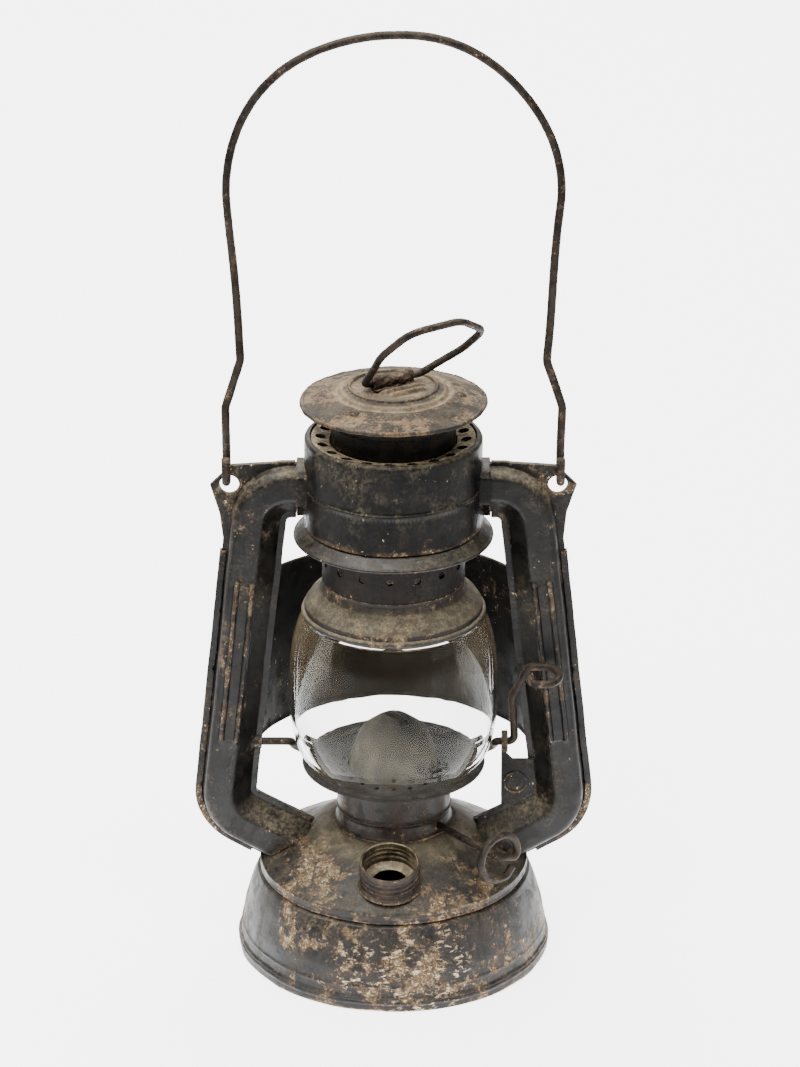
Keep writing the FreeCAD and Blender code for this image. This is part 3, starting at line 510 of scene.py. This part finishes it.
def turned(node, material, degrees=0.0, spacing=1.2, count=240, shape=dents(), sharp=32,
           outline=None, keep=None):
    """A turned CAD node meshed afresh in even quads and moved by shape."""
    points, closed = outline or outline_of(node, degrees)
    points = even(points, closed, spacing)
    bm = bmesh.new()
    rows = []
    for j in range(count):
        turn = 2 * math.pi * j / count
        row = []
        for r, z in points:
            place = Vector((r * math.cos(turn), r * math.sin(turn), z))
            row.append(bm.verts.new(place + shape(place)))
        rows.append(row)
    last = len(points) if closed else len(points) - 1
    for j, row in enumerate(rows):
        following = rows[(j + 1) % count]
        for i in range(last):
            k = (i + 1) % len(points)
            bm.faces.new((row[i], following[i], following[k], row[k]))
    if keep:
        gone = [f for f in bm.faces if not keep(f.calc_center_median())]
        bmesh.ops.delete(bm, geom=gone, context="FACES")
    bmesh.ops.remove_doubles(bm, verts=bm.verts, dist=1e-6)
    bmesh.ops.recalc_face_normals(bm, faces=bm.faces)
    return finish_piece(node + "_worn", bm, node, material, sharp)


def ribbed(point):
    """Dents of a tube half, with its pressed ribs raised a little more."""
    rise = min(max((abs(point.y) / MM - 7.9) / 0.7, 0.0), 1.0)
    out = Vector((0, math.copysign(0.6 * rise * MM, point.y), 0))
    return wobble(point, 17.0, 0.30) + wobble(point, 5.0, 0.07) + out


def bent_wire(start):
    """Slight bends and pitting that grow above the start height, so that hooks keep their fit."""
    def shape(point):
        grow = min(max((point.z - start) / 0.03, 0.0), 1.0)
        return wobble(point, 48.0, 1.5 * grow) + wobble(point, 1.6, 0.10)
    return shape


def joint(name):
    return next(j for j in frame["record"]["behaviour"]["joints"] if j["name"] == name)


def cap_shape():
    """Embossing and rust lumps of the cap: a step, a groove and two long raised bars."""
    hinge = joint("ring_fold")
    along = Vector(hinge["axis"]).normalized()
    across = Vector((-along.y, along.x, 0))
    middle = Vector(hinge["pos_m"])

    def shape(point):
        r = math.hypot(point.x, point.y) / MM
        u = (point - middle).dot(along) / MM
        v = (point - middle).dot(across) / MM
        rise = 0.40 * math.exp(-((r - 16.4) / 0.7) ** 2) - 0.45 * math.exp(-((r - 20.7) / 1.0) ** 2)
        for lane, half in ((-5.6, 10.0), (-9.4, 8.0)):
            ends = max(0.0, 1.0 - (abs(u - 1.0) / half) ** 6)
            rise += 1.45 * ends * math.exp(-((v - lane) / 1.15) ** 4)
        lumps = wobble(point, 17.0, 0.36) + wobble(point, 4.2, 0.22) + wobble(point, 1.5, 0.09)
        return lumps + Vector((0, 0, rise * MM))
    return shape


def mount(name):
    return next(m for m in frame["record"]["mounts"] if m["name"] == name)


def filler_neck(inside, outside):
    """Neck rolled from thin sheet, so that its thread shows inside and outside."""
    bore = mount("filler_neck")
    axis = Vector(bore["axis"]).normalized()
    middle = Vector(bore["pos_m"])
    inner = bore["dims"]["r_mm"] + 0.45
    half = bore["dims"]["length_mm"] / 2
    turn = Vector((0, 0, 1)).rotation_difference(axis).to_matrix().to_4x4()
    place = Matrix.Translation(middle) @ turn
    steps, count, sheet = 44, 160, 0.62
    bm = bmesh.new()

    def thread(height, degrees):
        inside = min(max((half - 1.3 - abs(height)) / 0.8, 0.0), 1.0)
        return inside * 0.36 * math.sin(2 * math.pi * (height / 2.35 - degrees / 360))

    rows = []
    for j in range(count):
        degrees = 360 * j / count
        angle = math.radians(degrees)
        line = [(inner - 3.6, -half - 0.9), (inner - 3.0, -half - 0.45), (inner - 0.6, -half - 0.2)]
        line += [(inner + thread(h, degrees), h)
                 for h in (half * (2 * k / steps - 1) + 0.2 for k in range(steps + 1))]
        line += [(inner + 0.05 + 0.45 * (1 - math.cos(a)), half + 0.2 + 0.38 * math.sin(a))
                 for a in (math.pi * k / 8 for k in range(1, 8))]
        line += [(inner + sheet + 0.25 + thread(h, degrees), h)
                 for h in (half * (1 - 2 * k / steps) for k in range(1, steps + 1))]
        line += [(inner + 1.2, -half - 0.3), (inner + 2.3, -half - 0.75),
                 (inner + 2.5, -half - 1.3), (inner, -half - 1.4), (inner - 3.6, -half - 1.3)]
        row = []
        for r, h in line:
            local = Vector((r * math.cos(angle), r * math.sin(angle), h)) * MM
            point = place @ local
            row.append(bm.verts.new(point + wobble(point, 6.0, 0.10) + wobble(point, 1.6, 0.04)))
        rows.append(row)
    for j, row in enumerate(rows):
        following = rows[(j + 1) % count]
        for i in range(len(row)):
            k = (i + 1) % len(row)
            bm.faces.new((row[i], following[i], following[k], row[k]))
    bmesh.ops.recalc_face_normals(bm, faces=bm.faces)
    for face in bm.faces:
        away = face.calc_center_median() - middle
        away -= axis * away.dot(axis)
        face.normal_update()
        face.material_index = 0 if away.dot(face.normal) < 0 else 1
    piece = finish_piece("filler_neck_rolled", bm, "filler_neck", inside, 50)
    piece.data.materials.append(outside)


def build(made):
    bore = mount("filler_neck")
    centre, axis = Vector(bore["pos_m"]), Vector(bore["axis"]).normalized()
    hole = (bore["dims"]["r_mm"] + 0.6) * MM

    def off_neck(point):
        away = point - centre
        return (away - axis * away.dot(axis)).length > hole or point.z < 0.036

    turned("tank_skirt", made["tank"], 20, spacing=0.9, count=420, shape=dents(0.45, 0.12))
    turned("tank_top", made["tank"], 20, spacing=0.9, count=360, shape=dents(0.35, 0.12),
           keep=off_neck)
    turned("tank_bottom", made["tank"], 20, spacing=2.0, count=200)
    turned("drum_flange", made["lip"], 20, spacing=0.8, count=300, shape=dents(0.12, 0.05))
    turned("globe_bell", made["bell"], 20, spacing=0.6, count=300, shape=dents(0.08, 0.06))
    turned("glass_globe", made["glass"], 20, spacing=1.2, count=240, shape=dents(0.10, 0.0))
    weathered("air_drum", made["drum"], 2.0, dents(0.25, 0.06))
    turned("chimney_cap", made["cap"], 80, spacing=0.5, count=400, shape=cap_shape(), sharp=50)
    weathered("cap_rivets", made["cap"], 0.6, cap_shape(), 60)
    weathered("ring_strap", made["crust"], 0.5,
              lambda p: wobble(p, 3.2, 0.9) + wobble(p, 1.2, 0.45), 60)
    for side in ("left", "right"):
        for face in ("front", "rear"):
            weathered(f"{side}_tube_{face}", made["tube"], 2.0, ribbed)
        weathered(side + "_tube_collar", made["drum"], 1.5)
    weathered("bail", made["wire"], 2.5, bent_wire(0.208), 60)
    weathered("lift_ring", made["wire"], 1.2, bent_wire(0.238), 60)
    weathered("reflector", made["reflector"], 3.0, dents(0.5, 0.05))
    weathered("burner_collar", made["collar"], 2.0)
    filler_neck(made["nickel"], made["thread"])
    plain = {
        "perforated_ring": "ring", "chimney_neck": "neck", "chimney_tube": "flue",
        "cap_legs": "flue", "globe_plate": "plate", "burner_cone": "brass",
        "burner_body": "brass", "air_plate": "brass", "wick_tube": "brass",
        "star_wheels": "brass", "wick": "cotton", "chimney_spring": "spring",
        "spring_seat": "spring", "lift_bracket": "drum", "reflector_clips": "reflector",
        "lift_wire": "wire", "wick_knob": "wire",
    }
    for name, key in plain.items():
        node = frame["nodes"][name]
        node.data.materials.clear()
        node.data.materials.append(made[key])


# ---- camera, floor and light ----------------------------------------------------------
def camera():
    data = bpy.data.cameras.new("camera")
    data.lens = 136.6
    data.sensor_width = 36.0
    data.clip_start = 0.05
    eye = bpy.data.objects.new("camera", data)
    eye.location = (0.00244, -1.389, 0.768)
    eye.rotation_euler = (math.radians(90 - 23.28), 0, 0)
    bpy.context.scene.collection.objects.link(eye)
    bpy.context.scene.camera = eye


def floor():
    bpy.ops.mesh.primitive_plane_add(size=14, location=(0, 0, -0.0002))
    plane = bpy.context.object
    plane.name = "floor"
    t = Tree("floor_white")
    t.shader.inputs["Base Color"].default_value = (0.56, 0.56, 0.56, 1)
    t.shader.inputs["Roughness"].default_value = 0.9
    t.shader.inputs["Specular IOR Level"].default_value = 0.1
    t.shader.inputs["Emission Color"].default_value = (1, 1, 1, 1)
    away = t.radius()
    depth = t.axis(t.place, 1)
    behind = t.step(depth, -0.42, -0.13)
    aside = t.math("SUBTRACT", t.math("ABSOLUTE", t.axis(t.place, 0)),
                   t.math("MULTIPLY", depth, 0.14))
    glow = t.math("MULTIPLY", behind, t.step(away, 4.0, 1.3))
    glow = t.math("MULTIPLY", glow, t.step(aside, 0.31, 0.17))
    t.link(t.math("MULTIPLY", glow, 3.8), t.shader.inputs["Emission Strength"])
    plane.data.materials.append(t.material)


def lamp(name, place, target, size, power):
    data = bpy.data.lights.new(name, "AREA")
    data.shape = "RECTANGLE"
    data.size, data.size_y = size
    data.energy = power
    light = bpy.data.objects.new(name, data)
    light.location = place
    aim = Vector(target) - Vector(place)
    light.rotation_euler = aim.to_track_quat("-Z", "Y").to_euler()
    bpy.context.scene.collection.objects.link(light)


def lights():
    world = bpy.data.worlds.new("studio")
    world.use_nodes = True
    background = world.node_tree.nodes["Background"]
    background.inputs[0].default_value = (1, 1, 1, 1)
    background.inputs[1].default_value = 0.18
    bpy.context.scene.world = world
    middle = (0, 0, 0.14)
    lamp("overhead", (-0.3, 0.75, 2.1), (0, 0.1, 0), (2.4, 2.2), 130)
    lamp("window", (-0.15, -0.5, 1.9), middle, (1.8, 0.45), 42)
    lamp("back", (0.0, 1.75, 1.05), (0, 0, 0.16), (2.4, 0.9), 34)
    lamp("key", (-0.6, -1.0, 1.45), middle, (0.7, 0.5), 22)
    lamp("fill", (1.4, -0.8, 0.8), middle, (1.0, 1.0), 4)


camera()
floor()
lights()
build(make_materials())
